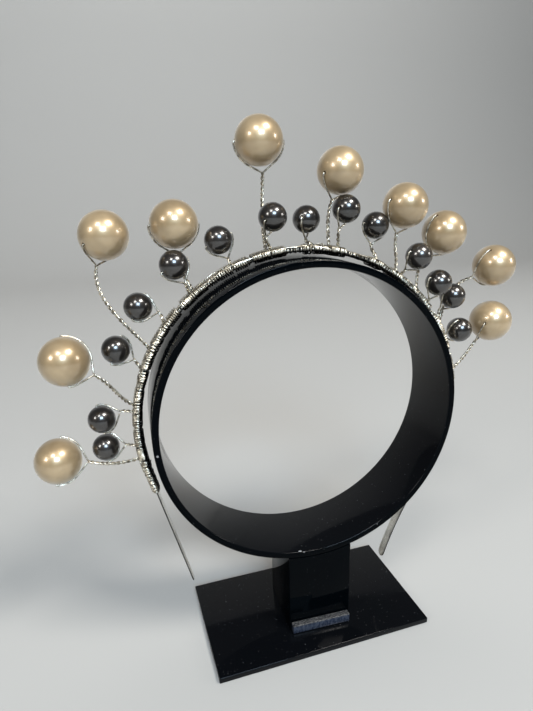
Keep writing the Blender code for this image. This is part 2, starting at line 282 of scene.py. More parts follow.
@dataclass(frozen=True, kw_only=True)
class WoundWireFinish(WireFinish):
    """Wire wound round the band, with painted shade: black where it faces the ring, in a ragged line.
    """

    axis: tuple[float, float, float]
    painted_shade_radius: float
    shade_end_radius: float
    # black is the colour of the painted shade towards the ring.
    black: Colour = (0.018, 0.017, 0.016)
    edge_scale: float = 900.0
    edge_low: float = -0.55
    edge_high: float = 0.35
    edge_sharpness: float = 1.6

    def colour(self, shader: Shader, stain: Socket) -> Socket:
        """Read the wire's colour from a stain pattern, with painted shade: black towards the band's
        axis.

        Args:
            shader: the material under construction.
            stain: the stain pattern.

        Returns:
            The colour.
        """
        nodes, links = shader.tree.nodes, shader.tree.links
        centred = nodes.new("ShaderNodeVectorMath")
        centred.operation = "SUBTRACT"
        centred.inputs[1].default_value = self.axis
        flat = nodes.new("ShaderNodeVectorMath")
        flat.operation = "MULTIPLY"
        flat.inputs[1].default_value = (1.0, 0.0, 1.0)
        length = nodes.new("ShaderNodeVectorMath")
        length.operation = "LENGTH"
        links.new(shader.place, centred.inputs[0])
        links.new(centred.outputs["Vector"], flat.inputs[0])
        links.new(flat.outputs["Vector"], length.inputs[0])
        # Painted shade: black towards the band's axis, in a ragged line.
        share = shader.remap(length.outputs["Value"], 0.0, 1.0, self.painted_shade_radius, self.shade_end_radius)
        tatter = shader.remap(shader.noise(self.edge_scale), self.edge_low, self.edge_high)
        ragged = nodes.new("ShaderNodeMath")
        ragged.operation = "MULTIPLY_ADD"
        ragged.use_clamp = True
        ragged.inputs[1].default_value = self.edge_sharpness
        links.new(share, ragged.inputs[0])
        links.new(tatter, ragged.inputs[2])
        blend = nodes.new("ShaderNodeMix")
        blend.data_type = "RGBA"
        colours = [socket for socket in blend.inputs if socket.type == "RGBA"]
        colours[0].default_value = (*self.black, 1.0)
        links.new(ragged.outputs["Value"], blend.inputs["Factor"])
        links.new(super().colour(shader, stain), colours[1])
        return next(socket for socket in blend.outputs if socket.type == "RGBA")


@dataclass(frozen=True, kw_only=True)
class StripFinish:
    """Flat spring strip, brushed along its length and faintly spotted."""

    name: str
    colour: Colour
    worn: Colour
    spot_scale: float = 240.0
    brush_scale: tuple[float, float, float] = (60.0, 5200.0, 60.0)
    brush_depth: float = 0.00004

    def build(self) -> bpy.types.Material:
        """Make the strip's material.

        Returns:
            The material.
        """
        shader = Shader(self.name)
        brushed = shader.noise(1.0, 3.0, 0.6, shader.stretched(self.brush_scale))
        spots = shader.noise(self.spot_scale, 3.0)
        shader.link(shader.ramp(spots, [(0.32, self.worn), (0.5, self.colour)]), "Base Color")
        shader.link(shader.remap(brushed, 0.16, 0.38), "Roughness")
        shader.set(Metallic=1.0)
        shader.bump(brushed, 0.35, self.brush_depth)
        return shader.material


@dataclass(frozen=True, kw_only=True)
class AcrylicFinish:
    """Polished black acrylic with a little dust and the haze of handling."""

    name: str
    colour: Colour
    dust: Colour
    mirror: float
    dust_scale: float = 1500.0
    dust_from: float = 0.765
    dust_full: float = 0.795
    haze_scale: float = 38.0
    ripple_scale: float = 22.0
    ripple_depth: float = 0.0004

    def build(self) -> bpy.types.Material:
        """Make the black acrylic's material.

        Returns:
            The material.
        """
        shader = Shader(self.name)
        grains = shader.noise(self.dust_scale, 1.0)
        dusty = shader.ramp(grains, [(self.dust_from, self.colour), (self.dust_full, self.dust)])
        shader.link(dusty, "Base Color")
        haze = shader.noise(self.haze_scale, 4.0, 0.6)
        shader.link(shader.remap(haze, 0.035, 0.13, 0.35, 0.75), "Roughness")
        shader.set(IOR=ACRYLIC_IOR, Specular_IOR_Level=self.mirror)
        shader.bump(shader.noise(self.ripple_scale, 1.0), 0.08, self.ripple_depth)
        return shader.material


@dataclass(frozen=True, kw_only=True)
class SawnClearFinish:
    """Clear acrylic cut from sheet over black: sawn and scored, or left smooth."""

    name: str
    colour: Colour
    frost: Colour
    relief: float
    score_scale: tuple[float, float, float] = (900.0, 2600.0, 500.0)
    score_depth: float = 0.0002

    def build(self) -> bpy.types.Material:
        """Make the clear acrylic's material.

        Returns:
            The material.
        """
        shader = Shader(self.name)
        scores = shader.noise(1.0, 4.0, 0.7, shader.stretched(self.score_scale))
        shader.link(shader.ramp(scores, [(0.44, self.colour), (0.68, self.frost)]), "Base Color")
        shader.link(shader.remap(scores, 0.12, 0.45, 0.35, 0.65), "Roughness")
        shader.set(IOR=ACRYLIC_IOR)
        shader.bump(scores, self.relief, self.score_depth)
        return shader.material


@dataclass(frozen=True, kw_only=True)
class FloorFinish:
    """Plain pale sweep under the stand."""

    name: str
    colour: Colour
    roughness: float = 0.75

    def build(self) -> bpy.types.Material:
        """Make the sweep's material.

        Returns:
            The material.
        """
        shader = Shader(self.name)
        shader.set(Base_Color=(*self.colour, 1.0), Roughness=self.roughness)
        return shader.material


CHAMPAGNE = NacreFinish(
    name="champagne_nacre", light=(0.49, 0.360, 0.208), deep=(0.34, 0.240, 0.128),
    metallic=0.50, roughness=0.37, coat_roughness=0.155, coat_ior=1.62,
    sheen=0.32, sheen_tint=(1.0, 0.92, 0.76))
GUNMETAL = NacreFinish(
    name="gunmetal_nacre", light=(0.043, 0.037, 0.033), deep=(0.020, 0.017, 0.015),
    metallic=0.75, roughness=0.34, coat_roughness=0.15, coat_ior=1.72,
    sheen=0.03, sheen_tint=(0.95, 0.95, 1.0))
# The winding's lower layer: silver darkened to painted shade between the outer turns.
SHADED_INNER_SILVER = WireFinish(
    name="shaded_wire_metal", bright=(0.08, 0.075, 0.07), tarnish=(0.03, 0.028, 0.026),
    roughness=0.45, stain_scale=420.0)
STEEL = StripFinish(
    name="brushed_strip_metal", colour=(0.68, 0.67, 0.62), worn=(0.46, 0.45, 0.42))
# A dark copy of the steel for the strip's front edge: painted shade.
SHADED_STRIP_EDGE = StripFinish(
    name="shaded_strip_edge", colour=(0.090, 0.088, 0.084), worn=(0.05, 0.05, 0.05))
# The three black acrylics are lit and shaded copies of one: the second and third are darker, with
# dimmer dust and weaker reflection, as painted shade.
BLACK = AcrylicFinish(
    name="polished_black_acrylic", colour=(0.0022, 0.0026, 0.0034), dust=(0.12, 0.12, 0.125),
    mirror=0.15)
SIDE_BLACK = AcrylicFinish(
    name="shaded_black_acrylic", colour=(0.0020, 0.0024, 0.0030), dust=(0.08, 0.08, 0.084),
    mirror=0.028)
DARKEST_SHADED_BLACK = AcrylicFinish(
    name="darkest_shaded_black_acrylic", colour=(0.0006, 0.0012, 0.0018), dust=(0.05, 0.05, 0.052),
    mirror=0.04)
CLEAR = SawnClearFinish(
    name="smooth_clear_acrylic", colour=(0.020, 0.026, 0.042), frost=(0.040, 0.048, 0.068),
    relief=0.1)
FROSTED = SawnClearFinish(
    name="sawn_clear_acrylic", colour=(0.016, 0.017, 0.020), frost=(0.13, 0.127, 0.123),
    relief=0.8)
GLUE = SawnClearFinish(
    name="dried_glue", colour=(0.12, 0.12, 0.125), frost=(0.50, 0.49, 0.47), relief=0.8)
PALE = FloorFinish(name="pale_sweep", colour=(0.40, 0.395, 0.38))


def deselect() -> None:
    """Leave edit mode and clear the selection."""
    if bpy.context.object is not None and bpy.context.object.mode != "OBJECT":
        bpy.ops.object.mode_set(mode="OBJECT")
    bpy.ops.object.select_all(action="DESELECT")


def take(piece: bpy.types.Object) -> None:
    """Make one object the only selected one, and the active one.

    Args:
        piece: the object.
    """
    deselect()
    piece.select_set(True)
    bpy.context.view_layer.objects.active = piece


def named(name: str) -> bpy.types.Object:
    """Name the object just added, and its data.

    Args:
        name: the name of both.

    Returns:
        The object.
    """
    piece = bpy.context.object
    piece.name = name
    piece.data.name = name
    return piece


def settle(piece: bpy.types.Object) -> None:
    """Apply an object's place, turn and scale, so that its place is in its mesh."""
    take(piece)
    bpy.ops.object.transform_apply(location=True, rotation=True, scale=True)


def apply_modifier(piece: bpy.types.Object, kind: str, **values: object) -> None:
    """Add a modifier and apply it.

    Args:
        piece: the mesh object.
        kind: the modifier's type.
        values: some of its settings.
    """
    take(piece)
    modifier = piece.modifiers.new(kind.lower(), kind)
    for name, value in values.items():
        setattr(modifier, name, value)
    bpy.ops.object.modifier_apply(modifier=modifier.name)


def pick(piece: bpy.types.Object, faces: Callable[[bmesh.types.BMFace], bool] | None = None,
         edges: Callable[[Vector, Vector], bool] | None = None) -> None:
    """Open a mesh in edit mode with the faces or edges that a test picks selected.

    Args:
        piece: the mesh object.
        faces: a test of a face, or None.
        edges: a test of an edge's two ends, or None.
    """
    take(piece)
    bpy.ops.object.mode_set(mode="EDIT")
    bpy.ops.mesh.select_mode(type="FACE" if faces else "EDGE")
    bpy.ops.mesh.select_all(action="DESELECT")
    shape = bmesh.from_edit_mesh(piece.data)
    if faces:
        for face in shape.faces:
            face.select_set(bool(faces(face)))
    if edges:
        for edge in shape.edges:
            edge.select_set(bool(edges(edge.verts[0].co, edge.verts[1].co)))
    bmesh.update_edit_mesh(piece.data)


def leave_edit() -> None:
    """Go back to object mode."""
    bpy.ops.object.mode_set(mode="OBJECT")


def smooth(piece: bpy.types.Object, degrees: float = 35.0) -> None:
    """Shade an object smooth except across edges sharper than an angle."""
    take(piece)
    bpy.ops.object.shade_smooth_by_angle(angle=math.radians(degrees))


def face_outwards(piece: bpy.types.Object) -> None:
    """Turn every face of a closed mesh outwards.

    Args:
        piece: the mesh object.
    """
    pick(piece, faces=lambda face: True)
    bpy.ops.mesh.normals_make_consistent(inside=False)
    leave_edit()


def block(name: str, centre: Vector, size: Vector, turn: float = 0.0) -> bpy.types.Object:
    """Add a box.

    Args:
        name: the object's name.
        centre: its middle.
        size: its three sides.
        turn: degrees about the upright axis.

    Returns:
        The box, with its place in its mesh.
    """
    deselect()
    bpy.ops.mesh.primitive_cube_add(size=1.0, location=centre,
                                    rotation=(0.0, 0.0, math.radians(turn)))
    piece = named(name)
    piece.scale = size
    settle(piece)
    return piece


def lying_drum(name: str, centre: Vector, radius: float, depth: float,
               facets: int) -> bpy.types.Object:
    """Add a cylinder whose axis runs from front to back.

    Args:
        name: the object's name.
        centre: its middle.
        radius: its radius.
        depth: its length along the axis.
        facets: the number of its sides.

    Returns:
        The cylinder, with its place in its mesh.
    """
    deselect()
    bpy.ops.mesh.primitive_cylinder_add(vertices=facets, radius=radius, depth=depth,
                                        location=centre, rotation=(math.pi / 2, 0.0, 0.0))
    piece = named(name)
    settle(piece)
    return piece


def empty_mesh(name: str) -> tuple[bpy.types.Object, bmesh.types.BMesh]:
    """Add a mesh object with nothing in it, open in edit mode.

    Args:
        name: the object's name.

    Returns:
        The object and its open mesh.
    """
    deselect()
    bpy.ops.mesh.primitive_plane_add(size=1.0)
    piece = named(name)
    take(piece)
    bpy.ops.object.mode_set(mode="EDIT")
    bpy.ops.mesh.delete(type="VERT")
    return piece, bmesh.from_edit_mesh(piece.data)


def hand_over(piece: bpy.types.Object, finish: bpy.types.Material,
              nodes: tuple[str, ...] = ()) -> bpy.types.Object:
    """Give a finished piece its material, its body and the nodes that it stands for.

    Args:
        piece: the finished mesh object, with its place in its mesh.
        finish: its material.
        nodes: the nodes that it stands for.

    Returns:
        The same object.
    """
    piece.data.materials.clear()
    piece.data.materials.append(finish)
    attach(piece, BODY)
    if nodes:
        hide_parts(*nodes)
    LOG.info("%s: %d faces", piece.name, len(piece.data.polygons))
    return piece


def face_finish(piece: bpy.types.Object, finish: bpy.types.Material,
                test: Callable[[bpy.types.MeshPolygon], bool]) -> bpy.types.Object:
    """Give some faces of a piece a material of their own.

    Args:
        piece: the mesh object.
        finish: the faces' material.
        test: a test that picks the faces.

    Returns:
        The same object.
    """
    piece.data.materials.append(finish)
    for face in piece.data.polygons:
        if test(face):
            face.material_index = len(piece.data.materials) - 1
    return piece


def middle(node: str) -> Vector:
    """Return the middle of a node's box."""
    low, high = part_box(node)
    return (low + high) / 2


def extent(node: str) -> Vector:
    """Return the three sides of a node's box."""
    low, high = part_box(node)
    return high - low


def spread(start: float, end: float, count: int) -> list[float]:
    """Return evenly spaced values from start to end, both included."""
    return [start + (end - start) * i / count for i in range(count + 1)]


def radial(angle: float) -> Vector:
    """Return the unit vector at an angle in the plane of the band."""
    turn = math.radians(angle)
    return Vector((math.cos(turn), 0.0, math.sin(turn)))


def tube_through(name: str, runs: list[list[Vector]], thickness: float,
                 sides: int) -> bpy.types.Object:
    """Make one mesh of round wires that follow lists of points.

    Args:
        name: the object's name.
        runs: the points of each wire.
        thickness: the wires' diameter.
        sides: an even number of sides, 4 or more.

    Returns:
        The mesh object, its points where they were given.
    """
    deselect()
    bpy.ops.curve.primitive_bezier_curve_add(location=(0.0, 0.0, 0.0))
    piece = named(name)
    piece.data.splines.clear()
    piece.data.bevel_depth = thickness / 2
    piece.data.bevel_resolution = sides // 2 - 2
    piece.data.use_fill_caps = True
    piece.data.twist_mode = "MINIMUM"
    for points in runs:
        spline = piece.data.splines.new("POLY")
        spline.points.add(len(points) - 1)
        for target, point in zip(spline.points, points):
            target.co = (*point, 1.0)
        spline.use_smooth = True
    take(piece)
    bpy.ops.object.convert(target="MESH")
    smooth(piece, WIRE_CREASE)
    return piece


def rounded(points: list[Vector], step: float) -> list[Vector]:
    """Draw a smooth curve through points.

    Args:
        points: the points that it passes through.
        step: the distance between the points of the curve, about.

    Returns:
        The points of the curve.
    """
    ends = [points[0] * 2 - points[1], *points, points[-1] * 2 - points[-2]]
    curve = [points[0]]
    for a, b, c, d in zip(ends, ends[1:], ends[2:], ends[3:]):
        count = max(1, round((c - b).length / step))
        for t in spread(0.0, 1.0, count)[1:]:
            first = (c - a) * t
            second = (a * 2 - b * 5 + c * 4 - d) * t ** 2
            third = (b * 3 - a - c * 3 + d) * t ** 3
            curve.append(b + (first + second + third) * 0.5)
    return curve


@dataclass(frozen=True)
class Smear:
    """A dried smear on the ring's front: its angle in degrees, radius and three sizes."""

    angle: float
    radius: float
    length: float
    width: float
    height: float


SMEARS = (
    Smear(-174.6, 0.0686, 0.0011, 0.0009, 0.0003),
    Smear(-95.8, 0.0664, 0.0017, 0.0006, 0.0004),
    Smear(-94.0, 0.0672, 0.0009, 0.0007, 0.0005),
    Smear(-60.8, 0.0677, 0.0005, 0.0004, 0.0003),
)


@dataclass
class Stand:
    """Black acrylic stand: base plate, square post, upright ring and a clear cleat.

    sawn_relief is how rough the cleat's sawn top is, and smear_evenness how many times a
    smear's unevenness goes into its width.
    """

    base_width: float = 0.108
    base_depth: float = 0.061
    base_turn: float = 2.7
    ring_wall: float = 0.003
    seat_gap: float = 0.0003
    polish: float = 0.0004
    polish_steps: int = 4
    post_polish_steps: int = 3
    cleat_polish_steps: int = 2
    facets: int = 256
    rim_crease: float = 60.0
    sawn_cuts: int = 18
    sawn_relief: float = 0.0012
    sawn_facing: float = 0.3
    smear_evenness: float = 7.0
    smear_crease: float = 80.0
    black: bpy.types.Material = field(default_factory=BLACK.build)
    # side and deep are the shaded copies of the black acrylic: painted shade.
    side: bpy.types.Material = field(default_factory=SIDE_BLACK.build)
    deep: bpy.types.Material = field(default_factory=DARKEST_SHADED_BLACK.build)
    clear: bpy.types.Material = field(default_factory=CLEAR.build)
    frosted: bpy.types.Material = field(default_factory=FROSTED.build)
    glue: bpy.types.Material = field(default_factory=GLUE.build)

    def base(self) -> bpy.types.Object:
        """Make the base plate, with polished, slightly rounded edges.

        Returns:
            The finished piece.
        """
        size = Vector((self.base_width, self.base_depth, extent("stand_base").z))
        piece = block("base_plate", middle("stand_base"), size, self.base_turn)
        apply_modifier(piece, "BEVEL", width=self.polish, segments=self.polish_steps)
        smooth(piece)
        return hand_over(piece, self.black, ("stand_base",))

    def ring(self) -> bpy.types.Object:
        """Make the upright ring: a disc inset and bridged into a tube with rounded rims.

        Returns:
            The finished piece.
        """
        size = extent("stand_ring")
        centre = middle("stand_ring")
        piece = lying_drum("display_ring", centre, size.x / 2, size.y, self.facets)
        pick(piece, faces=lambda face: abs(face.normal.y) > FACING)
        bpy.ops.mesh.inset(thickness=self.ring_wall, use_even_offset=True)
        bpy.ops.mesh.bridge_edge_loops()
        leave_edit()
        apply_modifier(piece, "BEVEL", width=self.polish, segments=self.polish_steps,
                       limit_method="ANGLE", angle_limit=math.radians(self.rim_crease))
        smooth(piece)
        hand_over(piece, self.black, ("stand_ring",))
        # Painted shade: the front and back faces and the outside take the darker, less reflective
        # copies.
        face_finish(piece, self.deep, lambda face: abs(face.normal.y) > FACING)
        return face_finish(piece, self.side, lambda face: (
            abs(face.normal.y) < 1.0 - FACING and (face.center - centre).dot(face.normal) > 0.0))

    def post(self) -> bpy.types.Object:
        """Make the square post, its top hollowed by a cutter a little wider than the ring.

        Returns:
            The finished piece.
        """
        piece = block("square_post", middle("stand_post"), extent("stand_post"))
        apply_modifier(piece, "BEVEL", width=self.polish, segments=self.post_polish_steps)
        ring = extent("stand_ring")
        cutter = lying_drum("seat_cutter", middle("stand_ring"), ring.x / 2 + self.seat_gap,
                            ring.y * 2, self.facets)
        apply_modifier(piece, "BOOLEAN", object=cutter, operation="DIFFERENCE", solver="EXACT")
        bpy.data.objects.remove(cutter, do_unlink=True)
        smooth(piece)
        # The post takes the darkest copy of the acrylic, as painted shade.
        return hand_over(piece, self.deep, ("stand_post",))

    def cleat(self) -> bpy.types.Object:
        """Make the clear strip glued in the corner, its sawn top left a little uneven.

        Returns:
            The finished piece.
        """
        piece = block("corner_cleat", middle("stand_cleat"), extent("stand_cleat"))
        apply_modifier(piece, "BEVEL", width=self.polish, segments=self.cleat_polish_steps)
        pick(piece, faces=lambda face: face.normal.z > FACING)
        bpy.ops.mesh.subdivide(number_cuts=self.sawn_cuts, fractal=self.sawn_relief,
                               fractal_along_normal=1.0, seed=SEED)
        leave_edit()
        smooth(piece)
        hand_over(piece, self.clear, ("stand_cleat",))
        return face_finish(piece, self.frosted, lambda face: face.normal.z > self.sawn_facing)

    def smear(self, mark: Smear, number: int) -> bpy.types.Object:
        """Make a dried smear of glue on the ring's front rim: a flattened, uneven blob.

        Args:
            mark: its place and sizes.
            number: its number, for its name and its own unevenness.

        Returns:
            The finished piece.
        """
        deselect()
        front = middle("stand_ring") - Vector((0.0, extent("stand_ring").y / 2, 0.0))
        bpy.ops.mesh.primitive_ico_sphere_add(subdivisions=3, radius=0.5,
                                              location=front + radial(mark.angle) * mark.radius,
                                              rotation=(0.0, math.radians(90 - mark.angle), 0.0))
        piece = named(f"glue_smear_{number}")
        piece.scale = (mark.length, mark.height, mark.width)
        settle(piece)
        pick(piece, faces=lambda face: True)
        bpy.ops.transform.vertex_random(offset=mark.width / self.smear_evenness, seed=SEED + number)
        leave_edit()
        smooth(piece, self.smear_crease)
        return hand_over(piece, self.glue)

    def build(self) -> None:
        """Make the four pieces of the stand and the smears on its ring."""
        self.base()
        self.post()
        self.ring()
        self.cleat()
        for number, mark in enumerate(SMEARS, start=1):
            self.smear(mark, number)


@dataclass(frozen=True)
class Leg:
    """A bare leg: its inward lean where it leaves the arc and at its tip, in degrees."""

    tuck: float
    flare: float
    length: float


@dataclass(frozen=True)
class Band:
    """The plane and the centre line that the headband's pieces are laid out on.

    Angles are in degrees round the arc, from the right, over the top, to the left.
    squareness is the power that turns an ellipse into a rounded oblong: the smaller it is,
    the squarer the corners.
    """

    radius: float = 0.0760
    setback: float = 0.0014
    turn: float = -2.3
    rest_angle: float = 105.0
    strip_width: float = 0.0050
    strip_thickness: float = 0.0006
    winding_width: float = 0.0062
    winding_thickness: float = 0.0028
    winding_left: float = 204.0
    winding_right: float = -4.0
    squareness: float = 0.55
    wire: float = 0.00075
    gap: float = 0.0003
    left: Leg = Leg(15.0, 15.0, 0.066)
    right: Leg = Leg(31.0, 16.0, 0.054)

    def seat(self) -> Matrix:
        """Find where the band's plane lies in the world, its ties on the ring.

        Returns:
            The matrix from the band's plane to the world.
        """
        ring_radius = extent("stand_ring").x / 2
        inner = self.radius - self.winding_thickness / 2 - self.gap - self.wire
        drop = inner - ring_radius - self.gap
        rest = math.radians(self.rest_angle)
        offset = Vector((-drop * math.cos(rest), self.setback, -drop * math.sin(rest)))
        place = Matrix.Translation(middle("stand_ring") + offset)
        return place @ Matrix.Rotation(math.radians(self.turn), 4, "Z")

    def lay(self, piece: bpy.types.Object) -> None:
        """Move a piece made in the band's plane to its place in the world."""
        piece.matrix_world = self.seat()
        settle(piece)

    def leg_station(self, leg: Leg, side: int, run: float) -> tuple[Vector, Vector]:
        """Find a point on a leg.

        Args:
            leg: the leg.
            side: -1 on the left, 1 on the right.
            run: length from the arc.

        Returns:
            The point and the unit vector away from the head.
        """
        lean = leg.tuck + (leg.flare - leg.tuck) * run / leg.length
        half = math.radians(lean - leg.tuck) / 2
        chord = run * (math.sin(half) / half if half else 1.0)
        point = radial(-leg.tuck) * self.radius - radial(90 - (leg.tuck + lean) / 2) * chord
        outward = radial(-lean)
        return Vector((side * point.x, 0.0, point.z)), Vector((side * outward.x, 0.0, outward.z))

    def station(self, angle: float) -> tuple[Vector, Vector]:
        """Find a point of the centre line.

        Past the ends of the arc the angle goes on down the legs, at the arc's own pace.

        Args:
            angle: the station along the band.

        Returns:
            The point and the unit vector away from the head.
        """
        past_left = math.radians(angle - 180.0 - self.left.tuck) * self.radius
        past_right = math.radians(-self.right.tuck - angle) * self.radius
        if past_left > 0.0:
            return self.leg_station(self.left, -1, past_left)
        if past_right > 0.0:
            return self.leg_station(self.right, 1, past_right)
        outward = radial(angle)
        return outward * self.radius, outward

    def ends(self) -> tuple[float, float]:
        """Find the tips of the legs.

        Returns:
            The stations of the left and the right tip.
        """
        left = 180.0 + self.left.tuck + math.degrees(self.left.length / self.radius)
        right = -self.right.tuck - math.degrees(self.right.length / self.radius)
        return left, right

    def beside(self, angle: float, out: float, back: float) -> Vector:
        """Return a point beside the centre line, so far outward and so far back."""
        point, outward = self.station(angle)
        return point + outward * out + Vector((0.0, back, 0.0))

    def turn_point(self, angle: float, roll: float, half_thickness: float,
                   half_width: float) -> Vector:
        """Find a point on a rounded oblong round the band.

        Args:
            angle: the station along the band.
            roll: degrees round the section, from the outer face to the back.
            half_thickness: half the oblong's height.
            half_width: half its width.

        Returns:
            The point, in the band's plane.
        """
        c, s = math.cos(math.radians(roll)), math.sin(math.radians(roll))
        out = math.copysign(abs(c) ** self.squareness, c) * half_thickness
        back = math.copysign(abs(s) ** self.squareness, s) * half_width
        return self.beside(angle, out, back)


@dataclass
class SpringStrip:
    """Flat strip of the headband, with bare legs and rounded tips.

    shares are the points across a section, from front to back, in halves of the width. The
    front edge, dark with painted shade, is the face whose normal leans forward by more than
    edge_facing.
    """

    band: Band
    steps: int = 220
    tip_steps: int = 6
    tip_start: float = 4.0
    shares: tuple[float, ...] = (-1.0, -0.4, 0.4, 1.0)
    edge: float = 0.00012
    edge_crease: float = 50.0
    edge_facing: float = 0.6

    def stations(self) -> list[float]:
        """Space the sections along the strip, close together round the tips.

        Returns:
            The stations, from the left tip to the right one.
        """
        left, right = self.band.ends()
        tip = math.degrees(self.band.strip_width / 2 / self.band.radius)
        start, count = self.tip_start, self.tip_steps
        near = [left - tip * (1 - math.cos(math.radians(a))) for a in spread(start, 90.0, count)]
        far = [right + tip * (1 - math.cos(math.radians(a))) for a in spread(90.0, start, count)]
        return near + spread(left - tip, right + tip, self.steps)[1:-1] + far

    def build(self, finish: bpy.types.Material) -> bpy.types.Object:
        """Make the strip as a ladder of sections drawn out along the centre line.

        Args:
            finish: its material.

        Returns:
            The finished piece.
        """
        band = self.band
        left, right = band.ends()
        half = band.strip_width / 2
        piece, shape = empty_mesh("spring_strip")
        rows = []
        for angle in self.stations():
            run = math.radians(min(left - angle, angle - right)) * band.radius
            inset = max(0.0, half - run)
            wide = math.sqrt(half * half - inset * inset)
            rows.append([shape.verts.new(band.beside(angle, 0.0, wide * share))
                         for share in self.shares])
        for near, far in zip(rows, rows[1:]):
            for i in range(len(self.shares) - 1):
                shape.faces.new((near[i], near[i + 1], far[i + 1], far[i]))
        bmesh.update_edit_mesh(piece.data)
        leave_edit()
        apply_modifier(piece, "SOLIDIFY", thickness=band.strip_thickness, offset=0.0)
        apply_modifier(piece, "BEVEL", width=self.edge, segments=2,
                       limit_method="ANGLE", angle_limit=math.radians(self.edge_crease))
        face_outwards(piece)
        band.lay(piece)
        smooth(piece)
        hand_over(piece, finish, ("band_strip",))
        # The front edge takes the dark copy of the steel, as painted shade.
        return face_finish(piece, SHADED_STRIP_EDGE.build(), lambda face: face.normal.y < -self.edge_facing)


@dataclass
class Winding:
    """Wire wound close round the strip from one side of the head to the other.

    press is how far the turns lie inside the winding's size, looseness how far one may stand off
    or sink in, and shift how far it may lean along the band, in shares of the pitch. The core
    lies core_sink of a wire's diameter under the surface and ends core_inset degrees short.
    """

    band: Band
    wire: float = 0.00066
    pitch: float = 0.00104
    points_a_turn: int = 14
    sides: int = 6
    press: float = 0.00008
    looseness: float = 0.00018
    shift: float = 0.36
    core_sides: int = 16
    core_steps: int = 200
    core_sink: float = 0.62
    core_inset: float = 0.3
    second_layer: tuple[tuple[float, float], ...] = (
        (203.2, 193.4), (168.0, 162.6), (124.6, 118.8))

    def core(self, finish: bpy.types.Material) -> bpy.types.Object:
        """Make the lower layer of wire, dark with painted shade between the outer turns.

        Args:
            finish: its material.

        Returns:
            The finished piece.
        """
        band = self.band
        sides = self.core_sides
        half_thickness = band.winding_thickness / 2 - self.wire * self.core_sink
        half_width = band.winding_width / 2 - self.wire * self.core_sink
        piece, shape = empty_mesh("winding_core")
        rings = [[shape.verts.new(band.turn_point(angle, roll, half_thickness, half_width))
                  for roll in spread(0.0, 360.0, sides)[:-1]]
                 for angle in spread(band.winding_left - self.core_inset,
                                     band.winding_right + self.core_inset, self.core_steps)]
        for near, far in zip(rings, rings[1:]):
            for i in range(sides):
                j = (i + 1) % sides
                shape.faces.new((near[i], near[j], far[j], far[i]))
        shape.faces.new(rings[0])
        shape.faces.new(rings[-1])
        bmesh.update_edit_mesh(piece.data)
        leave_edit()
        face_outwards(piece)
        band.lay(piece)
        smooth(piece)
        return hand_over(piece, finish)

    def turns(self, chance: random.Random, left: float, right: float, lift: float) -> list[Vector]:
        """Lead a wire round the band, turn after turn, each a little off its place.

        Args:
            chance: the source of each turn's slack and shift.
            left: the station of the first turn.
            right: the station of the last turn.
            lift: how far the layer lies above the first one.

        Returns:
            The wire's points, in the band's plane.
        """
        band = self.band
        count = int(math.radians(left - right) * band.radius / self.pitch)
        half_thickness = (band.winding_thickness - self.wire) / 2 - self.press + lift
        half_width = (band.winding_width - self.wire) / 2 - self.press + lift
        points = []
        for i in range(count):
            slack = chance.uniform(-1.0, 1.0) * self.looseness
            shift = chance.uniform(-self.shift, self.shift)
            for k in range(self.points_a_turn):
                part = k / self.points_a_turn
                along = (i + part + shift * math.sin(math.pi * part) ** 2) / count
                angle = left + (right - left) * min(max(along, 0), 1)
                rise = slack * math.sin(math.pi * part)
                points.append(band.turn_point(angle, 360 * part + 90, half_thickness + rise,
                                              half_width + rise))
        return points

    def build(self, finish: bpy.types.Material, dark: bpy.types.Material) -> None:
        """Make the wound wire over its core.

        Args:
            finish: material of the outer turns.
            dark: material of the layer below, with its painted shade.
        """
        self.core(dark)
        chance = random.Random(SEED)
        runs = [self.turns(chance, self.band.winding_left, self.band.winding_right, 0.0)]
        for left, right in self.second_layer:
            runs.append(self.turns(chance, left, right, self.wire))
        piece = tube_through("winding_turns", runs, self.wire, self.sides)
        self.band.lay(piece)
        hand_over(piece, finish, ("band_winding",))


@dataclass(frozen=True)
class Strand:
    """A thin loose wire: stops of a station in degrees, a height and an offset back."""

    name: str
    stops: tuple[tuple[float, float, float], ...]
    thickness: float = 0.00040
    sides: int = 6
    step: float = 0.0005

    def build(self, band: Band, finish: bpy.types.Material) -> bpy.types.Object:
        """Make the strand through its stops.

        Args:
            band: the band that it lies on.
            finish: its material.

        Returns:
            The finished piece.
        """
        path = rounded([band.beside(*stop) for stop in self.stops], self.step)
        piece = tube_through(self.name, [path], self.thickness, self.sides)
        band.lay(piece)
        return hand_over(piece, finish)


STRANDS = (
    Strand("strand_left", ((128.6, 0.0012, -0.0022), (124.5, 0.0023, -0.0021),
                           (119.0, 0.0022, -0.0014), (114.6, 0.0012, -0.0010))),
    Strand("strand_top", ((87.2, 0.0010, -0.0006), (84.6, 0.0026, -0.0010),
                          (81.9, 0.0010, -0.0006))),
    Strand("strand_low", ((163.0, 0.0011, -0.0024), (160.4, 0.0023, -0.0026),
                          (158.0, 0.0012, -0.0018))),
    Strand("loose_end", ((194.6, -0.0006, -0.0026), (192.8, -0.0019, -0.0031),
                         (191.0, -0.0030, -0.0022))),
)


@dataclass(frozen=True)
class Hang:
    """How a bead hangs on its wire.

    root is the station of the stem's foot, bow how far the stem bends back halfway, in
    shares of the bead's diameter. hang turns the line on which the wires meet from the line
    to the foot, turn and dip turn the drilled hole to the front and towards the stem.
    lead is the length of wire laid along the band beside the foot, in metres.
    """

    root: float
    bow: float
    hang: float
    turn: float
    dip: float
    lead: float = 0.0


